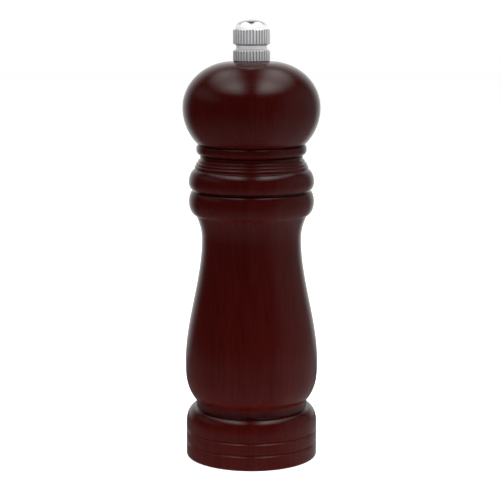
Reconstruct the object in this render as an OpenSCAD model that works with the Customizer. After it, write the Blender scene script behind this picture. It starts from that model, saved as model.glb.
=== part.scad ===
// Turned wooden pepper mill with a square shaft, a conical burr and a knurled nut on top.
// Millimetres. The origin is the middle of the base's underside and +Z is the turning axis.
// Every height is added to the one below it, so a change of one moves what stands on it.

/* [Base] */
// Largest diameter of the base
base_d = 49.6; // [47:0.1:56]
// Height of the upright wall of the base
base_wall_h = 13.0; // [12.5:0.1:20]
// Height of the quarter-round shoulder on that wall
base_shoulder_h = 6.2; // [4:0.1:8]
// Rounding of the lower corner
base_corner_r = 0.9; // [0.3:0.1:1.5]
// Height of the lower of two fine grooves in the wall
lower_groove_z = 5.7; // [3:0.1:6.5]
// Height of the upper of two fine grooves in the wall
upper_groove_z = 10.4; // [8:0.1:11]
// Depth of the two fine grooves
foot_groove_depth = 0.45; // [0.2:0.05:0.8]
// Diameter of the shoulder's top edge
shoulder_top_d = 43.0; // [42:0.1:46]

/* [Body] */
// Diameter of the straight neck band above the base
neck_d = 42.0; // [40:0.1:44]
// Height of the neck band
neck_h = 3.0; // [2:0.1:5]
// Diameter at the foot of the belly
belly_foot_d = 42.6; // [42:0.1:46]
// Largest diameter of the belly
belly_d = 50.0; // [46:0.1:56]
// Height from the foot of the belly to its largest diameter
belly_rise = 14.8; // [10:0.1:20]
// Diameter of the waist
waist_d = 37.3; // [34:0.1:42]
// Height from the largest diameter of the belly to the waist
waist_rise = 46.5; // [40:0.1:60]
// Diameter at the top of the flare, under the lower bead
flare_d = 41.8; // [39:0.1:44]
// Height of the flare
flare_h = 9.0; // [6:0.1:12]

/* [Beads and cove] */
// Diameter of the lower large bead
lower_bead_d = 46.9; // [44:0.1:50]
// Height of the lower bead below its largest diameter
lower_bead_below = 5.1; // [4:0.1:7]
// Height of the lower bead above its largest diameter
lower_bead_above = 3.9; // [2.5:0.1:5]
// Diameter of the upper large bead
upper_bead_d = 46.9; // [44:0.1:50]
// Height of the upper bead below its largest diameter
upper_bead_below = 2.6; // [2.4:0.1:4]
// Height of the upper bead above its largest diameter
upper_bead_above = 5.1; // [4:0.1:6]
// Depth of the rounding of both beads, measured inwards
bead_round = 3.2; // [2.4:0.1:3.4]
// Diameter at the bottom of the groove between the beads
bead_groove_d = 42.8; // [41:0.1:43.5]
// Height of that groove
bead_groove_h = 0.8; // [0.4:0.1:1.5]
// Height of each of the three small steps above the upper bead
step_h = 1.15; // [0.9:0.05:1.6]
// Diameter of the lowest of the three steps
low_step_d = 42.5; // [41.8:0.1:43]
// Diameter of the middle step
mid_step_d = 41.4; // [40.6:0.1:41.7]
// Diameter of the top step
top_step_d = 39.8; // [38.8:0.1:40.4]
// Diameter of the body's top edge, where the head sits
seam_d = 38.4; // [36:0.1:38.6]
// Height of the plain collar under that edge
collar_h = 1.3; // [1:0.1:3]

/* [Head] */
// Gap of the thin line between the body and the head
seam_gap = 0.2; // [0.1:0.05:0.4]
// Diameter of the small ring at the foot of the head
ring_d = 41.2; // [38:0.1:44]
// Height of the small ring with its lower rounding
ring_h = 4.0; // [3:0.1:6]
// Diameter at the foot of the dome
dome_foot_d = 40.0; // [38:0.1:44]
// Largest diameter of the dome
dome_d = 51.3; // [46:0.1:56]
// Height from the foot of the dome to its largest diameter
dome_rise = 13.6; // [10:0.1:18]
// Height from the largest diameter to the flat on top
dome_cap_h = 16.9; // [12:0.1:22]
// Diameter of the flat that the nut sits on
dome_flat_d = 14.0; // [13:0.1:17]
// Diameter of the tenon that turns in the body
tenon_d = 25.7; // [24:0.1:26]
// Length of the tenon
tenon_len = 18.0; // [12:0.1:24]
// Diameter of the bore that the square shaft passes through
head_bore_d = 9.6; // [9.2:0.1:11]
// Diameter of the narrow bore under the nut
nut_bore_d = 7.0; // [6.4:0.1:8]
// Depth of that narrow bore
nut_bore_depth = 7.0; // [4:0.1:8]

/* [Bores of the body] */
// Clearance of the tenon in the bore that holds the peppercorns, on each side
tenon_fit = 0.35; // [0.2:0.05:0.6]
// Diameter of the wider bore that holds the grinder
grinder_bore_d = 33.2; // [32:0.1:34]
// Diameter of the recess in the underside
recess_d = 41.0; // [40:0.1:43]
// Depth of the recess in the underside
recess_depth = 10.6; // [9:0.1:12]

/* [Nut] */
// Diameter over the knurl of the nut
nut_d = 13.7; // [12:0.1:16]
// Number of ridges of the knurl
knurl_count = 36; // [24:1:48]
// Depth of the knurl
knurl_depth = 0.35; // [0.2:0.05:0.5]
// Height of the lower knurled band
nut_low_band_h = 3.9; // [3:0.1:6]
// Height of the groove between the bands with its chamfers
nut_groove_h = 2.8; // [2:0.1:4]
// Diameter of the nut in that groove
nut_groove_d = 11.5; // [10:0.1:12]
// Height of the upper knurled band
nut_high_band_h = 5.3; // [4:0.1:8]
// Diameter of the nut's dome
nut_dome_d = 12.0; // [10:0.1:12.6]
// Height of the nut's dome with the short wall at its foot
nut_dome_h = 3.5; // [2.5:0.1:4.5]
// Height of that upright wall
nut_dome_wall = 0.8; // [0.4:0.1:1.5]
// Diameter of the screw thread
thread_d = 6.0; // [5:0.5:6]
// Depth of the threaded hole in the nut
nut_hole_depth = 10.5; // [8:0.1:11.5]

/* [Shaft] */
// Width of the square shaft across its flats
shaft_w = 6.0; // [5.6:0.1:6.2]
// Height of the shaft's foot above the ground
shaft_foot_z = 5.6; // [4.5:0.1:6]
// Free length of thread above the shaft's square
thread_len = 16.0; // [14:0.1:17]
// Running clearance between the square shaft and each square hole, on each side
square_fit = 0.1; // [0.05:0.01:0.15]

/* [Grinder] */
// Thickness of the housing's flange
flange_t = 1.6; // [1.2:0.1:2]
// Height of the housing's sleeve above the flange
sleeve_h = 21.4; // [19:0.1:24]
// Outer diameter of the stator
stator_d = 26.0; // [25:0.1:27]
// Height of the stator
stator_h = 11.0; // [9:0.1:12]
// Width of its top rim outside the mouth, before the flutes are cut
stator_rim_w = 2.4; // [2.2:0.1:3]
// Height of its fine-toothed lower zone
fine_h = 3.2; // [2.5:0.1:4]
// Diameter of the rotor's lower end, over its teeth
rotor_d = 20.8; // [19:0.1:21.2]
// Narrowing of the fine zone from bottom to top, in diameter
fine_taper = 2.0; // [1:0.1:2.4]
// Diameter of the rotor's upper end, over its coarse teeth
rotor_top_d = 11.6; // [11.2:0.1:13]
// Gap between the tips of the fine teeth, on each side
grind_gap = 0.4; // [0.35:0.05:0.6]
// Number of fine teeth on the rotor and on the stator
fine_teeth = 36; // [24:2:44]
// Number of coarse spiral teeth on the rotor
coarse_teeth = 7; // [5:1:9]
// Thickness of the bridge plate
bridge_t = 1.5; // [1.2:0.1:2]
// Outer diameter of the bridge's hub
hub_d = 13.4; // [13:0.1:14]
// Width of the bridge's arms
arm_w = 4.0; // [3:0.1:5]

/* [Spring and bush] */
// Outer diameter of the bush's neck, which turns in the hub
bush_neck_d = 10.6; // [10.2:0.1:11.4]
// Outer diameter of the bush's flange
bush_flange_d = 14.4; // [13.6:0.1:15.5]
// Thickness of that flange
bush_flange_t = 1.1; // [0.8:0.1:1.5]
// Thickness of the bearing washer between flange and bridge
bearing_t = 0.5; // [0.3:0.1:0.8]
// Diameter of the spring wire
spring_wire_d = 1.1; // [0.8:0.1:1.3]
// Mean diameter of the spring
spring_mean_d = 10.6; // [10.3:0.1:11]
// Turns of the spring
spring_turns = 5; // [4:0.5:6]
// Thickness of the spring cup and of the rotor washer
washer_t = 0.8; // [0.6:0.1:1]
// Thickness of the shaft's clip
clip_t = 0.7; // [0.5:0.1:0.9]

/* [Hidden] */
$fn = 64;

// Fits: clearance of a shaft or screw in its hole, the air between faces that turn on each other,
// and the clearances of the housing in the wood and of the stator in the housing, on each side.
run_fit = 0.05;
face_gap = 0.05;
housing_fit = 0.3;
stator_fit = 0.02;
hopper_d = tenon_d + 2 * tenon_fit;

// Heights of the body, from the ground up.
shoulder_top_z = base_wall_h + base_shoulder_h;
belly_foot_z = shoulder_top_z + neck_h;
belly_z = belly_foot_z + belly_rise;
waist_z = belly_z + waist_rise;
flare_top_z = waist_z + flare_h;
lower_bead_z = flare_top_z + lower_bead_below;
lower_bead_top_z = lower_bead_z + lower_bead_above;
upper_bead_foot_z = lower_bead_top_z + bead_groove_h;
upper_bead_z = upper_bead_foot_z + upper_bead_below;
upper_bead_top_z = upper_bead_z + upper_bead_above;
body_top_z = upper_bead_top_z + 3 * step_h + collar_h;

// Heights of the head and the nut.
head_z = body_top_z + seam_gap;
ring_top_z = head_z + ring_h;
dome_z = ring_top_z + dome_rise;
head_top_z = dome_z + dome_cap_h;
tenon_z = head_z - tenon_len;
nut_z = head_top_z + face_gap;
nut_groove_z = nut_z + nut_low_band_h;
nut_high_band_z = nut_groove_z + nut_groove_h;
nut_dome_z = nut_high_band_z + nut_high_band_h;

// The square ends below the narrow bore, and the thread ends inside the nut's hole.
square_drop = 1.4;
square_top_z = head_top_z - nut_bore_depth - square_drop;
shaft_top_z = square_top_z + thread_len;

// Heights of the grinder, hung from the ceiling of the recess.
stator_lift = 1.5;
bridge_air = 1.2;
flange_z = recess_depth - flange_t;
stator_z = flange_z + stator_lift;
stator_top_z = stator_z + stator_h;
fine_top_z = stator_z + fine_h;
sleeve_top_z = recess_depth + sleeve_h;
grinder_bore_top_z = sleeve_top_z + bridge_t + bridge_air;
housing_d = grinder_bore_d - 2 * housing_fit;
stator_bore_d = stator_d + 2 * stator_fit;
// The stator is pushed up against a small step and held there by a snap ring in a groove.
stator_step = 0.4;
snap_groove_depth = 0.9;
snap_ring_t = 1.0;
snap_ring_w = 1.65;
sleeve_bore_d = stator_bore_d - 2 * stator_step;
snap_groove_d = stator_bore_d + 2 * snap_groove_depth;

// Heights of what sits on the shaft.
rotor_proud = 0.4;
rotor_z = stator_z;
rotor_top_z = stator_top_z + rotor_proud;
cup_z = rotor_top_z;
bearing_z = sleeve_top_z - face_gap - bearing_t;
bush_flange_z = bearing_z - bush_flange_t;
washer_z = rotor_z - washer_t;
clip_z = washer_z - clip_t;
square_hole = shaft_w + 2 * square_fit;

// Cubic curve from one outline point to another with a slope (radius per height) at each end.
function ease(r0, z0, s0, r1, z1, s1, n) = [
    for (i = [0 : n])
        let (t = i / n, h = z1 - z0)
        [(2 * t ^ 3 - 3 * t ^ 2 + 1) * r0 + (t ^ 3 - 2 * t ^ 2 + t) * h * s0
            + (3 * t ^ 2 - 2 * t ^ 3) * r1 + (t ^ 3 - t ^ 2) * h * s1,
         z0 + t * h]
];

// Stretch of an ellipse round (cr, cz) with half axes a and b, between two angles.
function bow(cr, cz, a, b, from, to, n) = [
    for (i = [0 : n])
        let (t = from + (to - from) * i / n)
        [cr + a * cos(t), cz + b * sin(t)]
];

// Points of a closed star: n teeth between two radii, with a flat of the given share on each tip.
function star(n, tip_r, root_r, flat = 0.2) = [
    for (i = [0 : n - 1], k = [-1, 1, 2])
        let (a = 360 / n * (i + (k == 2 ? 0.5 : k * flat / 2)), r = k == 2 ? root_r : tip_r)
        [r * cos(a), r * sin(a)]
];

module tube(d_out, d_in, h) {
    difference() {
        cylinder(d = d_out, h = h);
        translate([0, 0, -1])
            cylinder(d = d_in, h = h + 2);
    }
}

module square_bore(z, h) {
    translate([-square_hole / 2, -square_hole / 2, z])
        cube([square_hole, square_hole, h]);
}

// V-shaped ring that is cut from an upright wall of radius r at height z.
module v_groove(r, z, depth) {
    rotate_extrude()
        polygon([[r - depth, z], [r + 1, z - 1 - depth], [r + 1, z + 1 + depth]]);
}

module screw(head_d, head_h, shank_d, len) {
    translate([0, 0, -head_h])
        cylinder(d = head_d, h = head_h);
    cylinder(d = shank_d, h = len - shank_d);
    translate([0, 0, len - shank_d])
        cylinder(d1 = shank_d, d2 = 0.4, h = shank_d);
}

// --- Body -----------------------------------------------------------------------------------

housing_screw_head_d = 3.6;
housing_screw_head_h = 1.4;
housing_screw_shank_d = 2.4;
housing_screw_len = 9.0;
housing_screw_count = 3;
housing_screw_r = (grinder_bore_d + recess_d) / 4 - 0.1;

// Each step of the cove has a rounded edge and runs straight in to the next.
function cove_step(d, z) = [
    [d / 2, z], [d / 2, z + step_h * 0.6], [d / 2 - 0.2, z + step_h * 0.9]
];

function body_outline() = concat(
    [[recess_d / 2, 0]],
    bow(base_d / 2 - base_corner_r, base_corner_r, base_corner_r, base_corner_r, -90, 0, 5),
    bow(shoulder_top_d / 2, base_wall_h, (base_d - shoulder_top_d) / 2, base_shoulder_h, 0, 82, 9),
    [[neck_d / 2, shoulder_top_z], [neck_d / 2, belly_foot_z]],
    ease(belly_foot_d / 2, belly_foot_z, 0.8, belly_d / 2, belly_z, 0, 9),
    ease(belly_d / 2, belly_z, 0, waist_d / 2, waist_z, 0, 16),
    [for (i = [1 : 7]) [waist_d / 2 + (flare_d - waist_d) / 2 * (i / 7) ^ 2,
                        waist_z + flare_h * i / 7]],
    bow(lower_bead_d / 2 - bead_round, lower_bead_z, bead_round, lower_bead_below + 0.2, -72, 0, 7),
    bow(lower_bead_d / 2 - bead_round, lower_bead_z, bead_round, lower_bead_above + 1.5, 6, 44, 4),
    [[bead_groove_d / 2, lower_bead_top_z], [bead_groove_d / 2, upper_bead_foot_z]],
    bow(upper_bead_d / 2 - bead_round, upper_bead_z, bead_round, upper_bead_below + 1.1, -43, 0, 6),
    bow(upper_bead_d / 2 - bead_round, upper_bead_z, bead_round, upper_bead_above, 8, 70, 7),
    cove_step(low_step_d, upper_bead_top_z),
    cove_step(mid_step_d, upper_bead_top_z + step_h),
    cove_step(top_step_d, upper_bead_top_z + 2 * step_h),
    [[seam_d / 2, body_top_z - collar_h], [seam_d / 2, body_top_z]],
    [[hopper_d / 2, body_top_z], [hopper_d / 2, grinder_bore_top_z],
     [grinder_bore_d / 2, grinder_bore_top_z], [grinder_bore_d / 2, recess_depth],
     [recess_d / 2, recess_depth]]
);

module body() {
    color([0.27, 0.09, 0.08])
        difference() {
            rotate_extrude()
                polygon(body_outline());
            v_groove(base_d / 2, lower_groove_z, foot_groove_depth);
            v_groove(base_d / 2, upper_groove_z, foot_groove_depth);
            at_housing_screws()
                cylinder(d = housing_screw_shank_d + 2 * run_fit, h = housing_screw_len + 1);
        }
}

// --- Head -----------------------------------------------------------------------------------

drive_plate_rim = 1.3;
drive_plate_d = tenon_d - 2 * drive_plate_rim;
drive_plate_t = 1.4;
drive_plate_z = tenon_z - drive_plate_t;
drive_screw_r = (tenon_d + head_bore_d) / 4;
drive_screw_head_d = 3.8;
drive_screw_head_h = 1.2;
drive_screw_shank_d = 2.2;
drive_screw_len = 9.0;

function head_outline() = concat(
    [[head_bore_d / 2, tenon_z], [tenon_d / 2 - 0.4, tenon_z], [tenon_d / 2, tenon_z + 0.4],
     [tenon_d / 2, head_z], [ring_d / 2 - 1.8, head_z]],
    bow(ring_d / 2 - 1.8, head_z + 2.0, 1.8, 2.0, -65, 0, 5),
    [[ring_d / 2, ring_top_z - 0.9]],
    [[ring_d / 2 - 0.25, ring_top_z - 0.4], [dome_foot_d / 2 - 0.3, ring_top_z - 0.2],
     [dome_foot_d / 2 - 0.3, ring_top_z]],
    bow(dome_d / 2 - dome_round, dome_z, dome_round, dome_round, -dome_foot_angle, 0, 10),
    bow(crown_centre_r, dome_z, dome_cap_a, dome_cap_h + 0.1, 5, dome_flat_angle, 16),
    [[dome_flat_d / 2 - 1, head_top_z], [nut_bore_d / 2, head_top_z],
     [nut_bore_d / 2, head_top_z - nut_bore_depth],
     [head_bore_d / 2, head_top_z - nut_bore_depth]]
);
// The dome is an arc below its largest diameter and a quarter ellipse above it.
dome_inset = (dome_d - dome_foot_d) / 2;
dome_round = (dome_rise ^ 2 + dome_inset ^ 2) / (2 * dome_inset);
dome_foot_angle = asin(dome_rise / dome_round);
crown_centre_r = 6.8;
dome_cap_a = dome_d / 2 - crown_centre_r;
dome_flat_angle = acos((dome_flat_d / 2 - crown_centre_r) / dome_cap_a);

module head() {
    color([0.27, 0.09, 0.08])
        difference() {
            rotate_extrude()
                polygon(head_outline());
            at_drive_screws()
                cylinder(d = drive_screw_shank_d + 2 * run_fit, h = drive_screw_len + 1);
        }
}

module at_drive_screws() {
    for (a = [90, 270])
        rotate([0, 0, a])
            translate([drive_screw_r, 0, tenon_z])
                children();
}

// Disc with a square hole for the shaft, screwed to the tenon's underside.
module drive_plate() {
    color("silver")
        difference() {
            translate([0, 0, drive_plate_z])
                cylinder(d = drive_plate_d, h = drive_plate_t);
            square_bore(drive_plate_z - 1, drive_plate_t + 2);
            at_drive_screws()
                translate([0, 0, -drive_plate_t - 1])
                    cylinder(d = drive_screw_shank_d + 2 * run_fit, h = drive_plate_t + 2);
        }
}

module drive_plate_screws() {
    color("gainsboro")
        at_drive_screws()
            translate([0, 0, -drive_plate_t])
                screw(drive_screw_head_d, drive_screw_head_h, drive_screw_shank_d,
                      drive_screw_len + drive_plate_t);
}

// --- Nut and shaft --------------------------------------------------------------------------

nut_chamfer = 0.5;

function nut_outline() = concat(
    [[0, nut_z], [nut_d / 2 - nut_chamfer, nut_z], [nut_d / 2, nut_z + nut_chamfer],
     [nut_d / 2, nut_groove_z], [nut_groove_d / 2, nut_groove_z + nut_groove_h * 0.35],
     [nut_groove_d / 2, nut_groove_z + nut_groove_h * 0.7], [nut_d / 2, nut_high_band_z],
     [nut_d / 2, nut_dome_z - nut_chamfer], [nut_d / 2 - nut_chamfer, nut_dome_z],
     [nut_dome_d / 2, nut_dome_z]],
    bow(0, nut_dome_z + nut_dome_wall, nut_dome_d / 2, nut_dome_h - nut_dome_wall, 0, 90, 9)
);

module finial_nut() {
    color("whitesmoke")
        difference() {
            intersection() {
                rotate_extrude()
                    polygon(nut_outline());
                translate([0, 0, nut_z])
                    linear_extrude(nut_dome_z + nut_dome_h - nut_z)
                        polygon(star(knurl_count, nut_d / 2, nut_d / 2 - knurl_depth));
            }
            translate([0, 0, nut_z - 1])
                cylinder(d = thread_d, h = nut_hole_depth + 1);
        }
}

module shaft() {
    thread_fit = 0.05;
    color("lightgray")
        difference() {
            union() {
                translate([-shaft_w / 2, -shaft_w / 2, shaft_foot_z])
                    cube([shaft_w, shaft_w, square_top_z - shaft_foot_z]);
                translate([0, 0, square_top_z - 1])
                    cylinder(d = thread_d - 2 * thread_fit, h = thread_len + 0.4);
                translate([0, 0, shaft_top_z - 0.6])
                    cylinder(d1 = thread_d - 2 * thread_fit, d2 = thread_d - 1.3, h = 0.6);
            }
            translate([0, 0, clip_z - run_fit])
                tube(2 * shaft_w, clip_groove_d, clip_t + 2 * run_fit);
        }
}

// --- Grinder housing and what is fixed in it --------------------------------------------------

module at_housing_screws() {
    for (i = [0 : housing_screw_count - 1])
        rotate([0, 0, 90 + i * 360 / housing_screw_count])
            translate([housing_screw_r, 0, recess_depth])
                children();
}

rivet_shank_d = 1.8;
rivet_head_d = 3.0;
rivet_head_h = 0.8;
rivet_len = 4.0;
rivet_count = 3;
rivet_r = (housing_d + sleeve_bore_d) / 4;

module at_rivets() {
    for (i = [0 : rivet_count - 1])
        rotate([0, 0, i * 360 / rivet_count])
            translate([rivet_r, 0, sleeve_top_z])
                children();
}

// Flanged sleeve: the flange is screwed to the ceiling of the recess and the sleeve fills the bore.
module grinder_housing() {
    color("dimgray")
        difference() {
            union() {
                translate([0, 0, flange_z])
                    cylinder(d = recess_d - 2 * housing_fit, h = flange_t);
                translate([0, 0, flange_z])
                    cylinder(d = housing_d, h = sleeve_top_z - flange_z);
            }
            translate([0, 0, flange_z - 1])
                cylinder(d = stator_bore_d, h = stator_top_z - flange_z + 1);
            translate([0, 0, flange_z - 1])
                cylinder(d = sleeve_bore_d, h = sleeve_top_z - flange_z + 2);
            translate([0, 0, stator_z - snap_ring_t])
                cylinder(d = snap_groove_d, h = snap_ring_t);
            at_housing_screws()
                translate([0, 0, -flange_t - 1])
                    cylinder(d = housing_screw_shank_d + 2 * run_fit, h = flange_t + 2);
            at_rivets()
                translate([0, 0, -rivet_len])
                    cylinder(d = rivet_shank_d, h = rivet_len + 1);
        }
}

module housing_screws() {
    color("gainsboro")
        at_housing_screws()
            translate([0, 0, -flange_t])
                screw(housing_screw_head_d, housing_screw_head_h, housing_screw_shank_d,
                      housing_screw_len + flange_t);
}

stator_fine_r = rotor_d / 2 + grind_gap;
stator_throat_r = stator_fine_r - fine_taper / 2;
stator_mouth_r = stator_d / 2 - stator_rim_w;
fine_depth = 0.5;
coarse_depth = 1.1;

// Fixed burr: fine teeth below, and coarse flutes that widen to the mouth above.
module stator() {
    mouth_teeth = 14;
    cut = 0.5;
    fine_scale = (fine_h + 2 * cut) / fine_h;
    fine_low_r = stator_fine_r + fine_taper / 2 * cut / fine_h;
    fine_high_r = stator_throat_r - fine_taper / 2 * cut / fine_h;
    mouth_run = (stator_mouth_r - stator_throat_r) / (stator_h - fine_h);
    color("slategray")
        difference() {
            translate([0, 0, stator_z])
                cylinder(d = stator_d, h = stator_h);
            translate([0, 0, stator_z - cut])
                linear_extrude(fine_h * fine_scale, scale = fine_high_r / fine_low_r)
                    polygon(star(fine_teeth, fine_low_r + fine_depth, fine_low_r, 0.3));
            translate([0, 0, fine_top_z])
                linear_extrude(stator_h - fine_h + cut,
                               scale = (stator_mouth_r + mouth_run * cut) / stator_throat_r)
                    polygon(star(mouth_teeth, stator_throat_r + coarse_depth, stator_throat_r));
        }
}

// Spring-steel ring with a gap, which lies in the housing's groove under the stator.
module stator_snap_ring() {
    gap_w = 6;
    color("darkgray")
        translate([0, 0, stator_z - snap_ring_t])
            difference() {
                tube(snap_groove_d - 2 * run_fit, snap_groove_d - 2 * run_fit - 2 * snap_ring_w,
                     snap_ring_t);
                translate([0, -gap_w / 2, -1])
                    cube([snap_groove_d, gap_w, snap_ring_t + 2]);
            }
}

module bridge() {
    color("silver")
        translate([0, 0, sleeve_top_z])
            difference() {
                union() {
                    tube(housing_d, sleeve_bore_d, bridge_t);
                    cylinder(d = hub_d, h = bridge_t);
                    for (i = [0 : rivet_count - 1])
                        rotate([0, 0, i * 360 / rivet_count])
                            translate([hub_d / 2 - 1, -arm_w / 2, 0])
                                cube([rivet_r - hub_d / 2, arm_w, bridge_t]);
                }
                translate([0, 0, -1])
                    cylinder(d = bush_neck_d + 2 * run_fit, h = bridge_t + 2);
                for (i = [0 : rivet_count - 1])
                    rotate([0, 0, i * 360 / rivet_count])
                        translate([rivet_r, 0, -1])
                            cylinder(d = rivet_shank_d, h = bridge_t + 2);
            }
}

module bridge_rivets() {
    color("gainsboro")
        at_rivets() {
            translate([0, 0, 0.1 - rivet_len])
                cylinder(d = rivet_shank_d, h = rivet_len + bridge_t);
            translate([0, 0, bridge_t])
                intersection() {
                    cylinder(d = rivet_head_d, h = rivet_head_h);
                    translate([0, 0, rivet_head_h - rivet_head_d])
                        sphere(r = rivet_head_d);
                }
        }
}

// --- What turns with the shaft ------------------------------------------------------------------

// Flanged bush: its square hole is keyed on the shaft and its neck turns in the bridge's hub.
module thrust_bush() {
    neck_above = 0.6;
    color("peru")
        difference() {
            union() {
                translate([0, 0, bush_flange_z])
                    cylinder(d = bush_flange_d, h = bush_flange_t);
                translate([0, 0, bush_flange_z])
                    cylinder(d = bush_neck_d, h = sleeve_top_z + bridge_t + neck_above
                             - bush_flange_z);
            }
            square_bore(bush_flange_z - 1, 10);
        }
}

module bearing_washer() {
    color("gainsboro")
        translate([0, 0, bearing_z])
            tube(bush_flange_d, bush_neck_d + 2 * run_fit, bearing_t);
}

spring_z = cup_z + washer_t;
spring_h = bush_flange_z - spring_z;

// Compression spring between cup and bush: a wire swept along a helix with closed end turns.
module rotor_spring() {
    sides = 6;
    steps = 18;
    rings = round(spring_turns * steps);
    wire_r = spring_wire_d / 2;
    rise = spring_h - spring_wire_d;
    points = [
        for (i = [0 : rings], k = [0 : sides - 1])
            let (t = i / rings,
                 a = 360 * spring_turns * t,
                 lift = 0.5 - 0.5 * cos(180 * t),
                 z = spring_z + wire_r + rise * (0.75 * t + 0.25 * lift),
                 r = spring_mean_d / 2 + wire_r * cos(360 / sides * k))
            [r * cos(a), r * sin(a), z + wire_r * sin(360 / sides * k)]
    ];
    walls = [
        for (i = [0 : rings - 1], k = [0 : sides - 1], half = [0, 1])
            let (a = i * sides + k, b = i * sides + (k + 1) % sides)
            half == 0 ? [a, b, a + sides] : [b, b + sides, a + sides]
    ];
    color("lightgray")
        polyhedron(points, concat([[for (k = [sides - 1 : -1 : 0]) k]], walls,
                                  [[for (k = [0 : sides - 1]) rings * sides + k]]));
}

// Dished washer that the spring's lower turn sits in.
module spring_cup() {
    cup_d = spring_mean_d + 2 * spring_wire_d + 1.0;
    rim_t = 0.5;
    color("silver")
        difference() {
            translate([0, 0, cup_z])
                union() {
                    cylinder(d = cup_d, h = washer_t);
                    tube(cup_d, cup_d - 2 * rim_t, washer_t + 1.0);
                }
            square_bore(cup_z - 1, washer_t + 2);
        }
}

// Moving burr: fine teeth on the lower cone and coarse spiral teeth that feed the corns down.
module rotor() {
    fine_scale = (rotor_d - fine_taper) / rotor_d;
    coarse_r = (rotor_d - fine_taper) / 2;
    color("slategray")
        difference() {
            union() {
                translate([0, 0, rotor_z])
                    linear_extrude(fine_h, scale = fine_scale, twist = 12, slices = 3)
                        polygon(star(fine_teeth, rotor_d / 2, rotor_d / 2 - fine_depth, 0.3));
                translate([0, 0, rotor_z + fine_h])
                    rotate([0, 0, 12])
                        linear_extrude(rotor_top_z - rotor_z - fine_h, twist = 80, slices = 10,
                                       scale = rotor_top_d / 2 / coarse_r)
                            polygon(star(coarse_teeth, coarse_r, coarse_r - 2 * coarse_depth, 0.35));
                translate([0, 0, rotor_top_z - 2])
                    cylinder(d = rotor_top_d - 1, h = 2);
            }
            square_bore(rotor_z - 1, rotor_top_z - rotor_z + 2);
        }
}

module rotor_washer() {
    washer_d = rotor_d - 6;
    color("silver")
        difference() {
            translate([0, 0, washer_z])
                cylinder(d = washer_d, h = washer_t);
            square_bore(washer_z - 1, washer_t + 2);
        }
}

clip_groove_depth = 0.7;
clip_rim_w = 2.5;
clip_groove_d = shaft_w - 2 * clip_groove_depth;

// E-clip: a ring with an open side that snaps into the groove of the shaft's foot.
module shaft_clip() {
    clip_d = shaft_w + 2 * clip_rim_w;
    color("darkgray")
        translate([0, 0, clip_z])
            difference() {
                cylinder(d = clip_d, h = clip_t);
                translate([0, 0, -1])
                    cylinder(d = clip_groove_d + 2 * run_fit, h = clip_t + 2);
                translate([0, -clip_groove_d * 0.42, -1])
                    cube([clip_d, clip_groove_d * 0.84, clip_t + 2]);
            }
}

body();
head();
finial_nut();
shaft();
drive_plate();
drive_plate_screws();
grinder_housing();
housing_screws();
stator();
stator_snap_ring();
bridge();
bridge_rivets();
thrust_bush();
bearing_washer();
rotor_spring();
spring_cup();
rotor();
rotor_washer();
shaft_clip();
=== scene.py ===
import math

import bpy
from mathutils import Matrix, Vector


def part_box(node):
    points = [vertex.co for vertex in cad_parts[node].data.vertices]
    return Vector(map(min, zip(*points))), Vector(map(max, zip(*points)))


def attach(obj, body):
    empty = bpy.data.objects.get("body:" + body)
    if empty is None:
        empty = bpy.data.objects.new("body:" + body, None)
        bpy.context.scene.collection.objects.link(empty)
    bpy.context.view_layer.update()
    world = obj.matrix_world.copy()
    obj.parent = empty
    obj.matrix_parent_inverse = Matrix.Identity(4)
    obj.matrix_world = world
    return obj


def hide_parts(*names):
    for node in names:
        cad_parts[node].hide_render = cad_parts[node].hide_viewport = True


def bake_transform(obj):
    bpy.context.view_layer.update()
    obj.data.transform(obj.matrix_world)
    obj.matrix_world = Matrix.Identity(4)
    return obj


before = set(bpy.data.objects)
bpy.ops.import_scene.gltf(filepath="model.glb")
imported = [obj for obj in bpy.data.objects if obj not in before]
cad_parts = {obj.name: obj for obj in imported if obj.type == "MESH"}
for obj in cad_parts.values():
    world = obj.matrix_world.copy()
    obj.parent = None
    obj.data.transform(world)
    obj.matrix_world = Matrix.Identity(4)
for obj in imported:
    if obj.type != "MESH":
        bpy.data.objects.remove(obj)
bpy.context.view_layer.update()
bpy.ops.object.select_all(action="DESELECT")
scene = bpy.context.scene
scene.view_settings.view_transform = "Standard"
MM = 0.001

# --- The view -------------------------------------------------------------------------------
# The mill stands in front of a long lens, a little above its own height. The camera looks
# along +Y and slightly down, with the mill's axis a hair right of the middle.
camera_distance = 600 * MM
camera_height = 175 * MM
camera_side = -0.56 * MM
camera_tilt = math.radians(9.09)
bpy.ops.object.camera_add(
    location=(camera_side, -camera_distance, camera_height),
    rotation=(math.pi / 2 - camera_tilt, 0, 0),
)
camera = bpy.context.object
camera.data.lens = 116.2
camera.data.sensor_width = 36
camera.data.clip_start = 0.01
scene.camera = camera

# --- Floor, room and lamps ------------------------------------------------------------------
# A white table in a white room. Two wide soft boxes hang over the mill, left and right of it,
# with a gap between them. The side where the camera stands is dark, so that the lacquer shows
# the wood and not the room.
bpy.ops.mesh.primitive_plane_add(size=6, location=(0, 0, -0.02 * MM))
floor = bpy.context.object
floor.name = "floor"
bpy.ops.object.transform_apply()


def upright(node_name):
    """The heights of a CAD node's lowest and highest points."""
    low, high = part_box(node_name)
    return low[2], high[2]


def wire(tree, *links):
    """Joins sockets, each link given as (node, output, node, input)."""
    for source, output, target, entry in links:
        tree.links.new(source.outputs[output], target.inputs[entry])


def node(tree, kind, **settings):
    """Adds a shader node. A setting named after a socket is its value, any other a property."""
    made = tree.nodes.new("ShaderNode" + kind)
    for key, value in settings.items():
        if hasattr(made, key):
            setattr(made, key, value)
        else:
            made.inputs[key.replace("_", " ")].default_value = value
    return made


def soft_step(tree, low, high, start, end):
    """A smooth rise from one value to another while its input goes from low to high."""
    return node(tree, "MapRange", interpolation_type="SMOOTHSTEP", From_Min=low, From_Max=high,
                To_Min=start, To_Max=end)


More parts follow.
